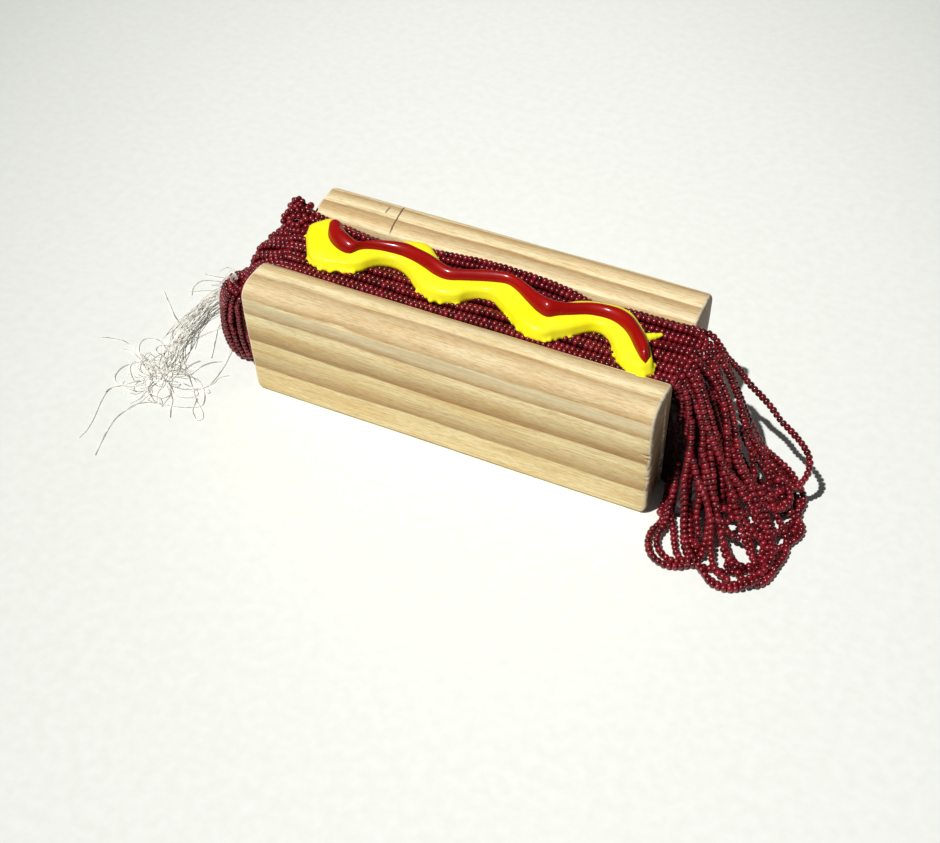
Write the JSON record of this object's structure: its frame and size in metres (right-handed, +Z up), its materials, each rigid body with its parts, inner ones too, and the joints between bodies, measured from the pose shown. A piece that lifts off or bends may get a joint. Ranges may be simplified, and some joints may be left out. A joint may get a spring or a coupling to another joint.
{
  "type": "craft hot dog sculpture",
  "caption": "Craft copy of a hot dog: pine boards as the bun, strands of dark red glass beads as the sausage, poured mustard and ketchup, and a tail of loose cotton strings.",
  "frame": {"origin": "on the table, under the middle of the whole piece's bounding box", "axes": "+Z up, +X along the bun towards the loops of beads that spill out, +Y towards the far board, across the bun"},
  "size_m": [0.276, 0.121, 0.0581],
  "materials": {
    "pine": "bare sanded pine, sawn along the grain",
    "bead_glass": "opaque oxblood seed beads, glossy",
    "mustard_paint": "poured, semi-gloss",
    "ketchup_paint": "poured, high gloss",
    "cotton": "undyed cotton thread"
  },
  "bodies": {
    "root": {"bun_near": "pine", "bun_far": "pine", "bead_bundle": "bead_glass", "bead_fold": "bead_glass", "bead_spill": "bead_glass", "bead_loop": "bead_glass", "mustard": "mustard_paint", "ketchup": "ketchup_paint", "string_tail": "cotton", "string_left": "cotton", "string_front": "cotton", "string_outer": "cotton"}
  },
  "joints": []
}
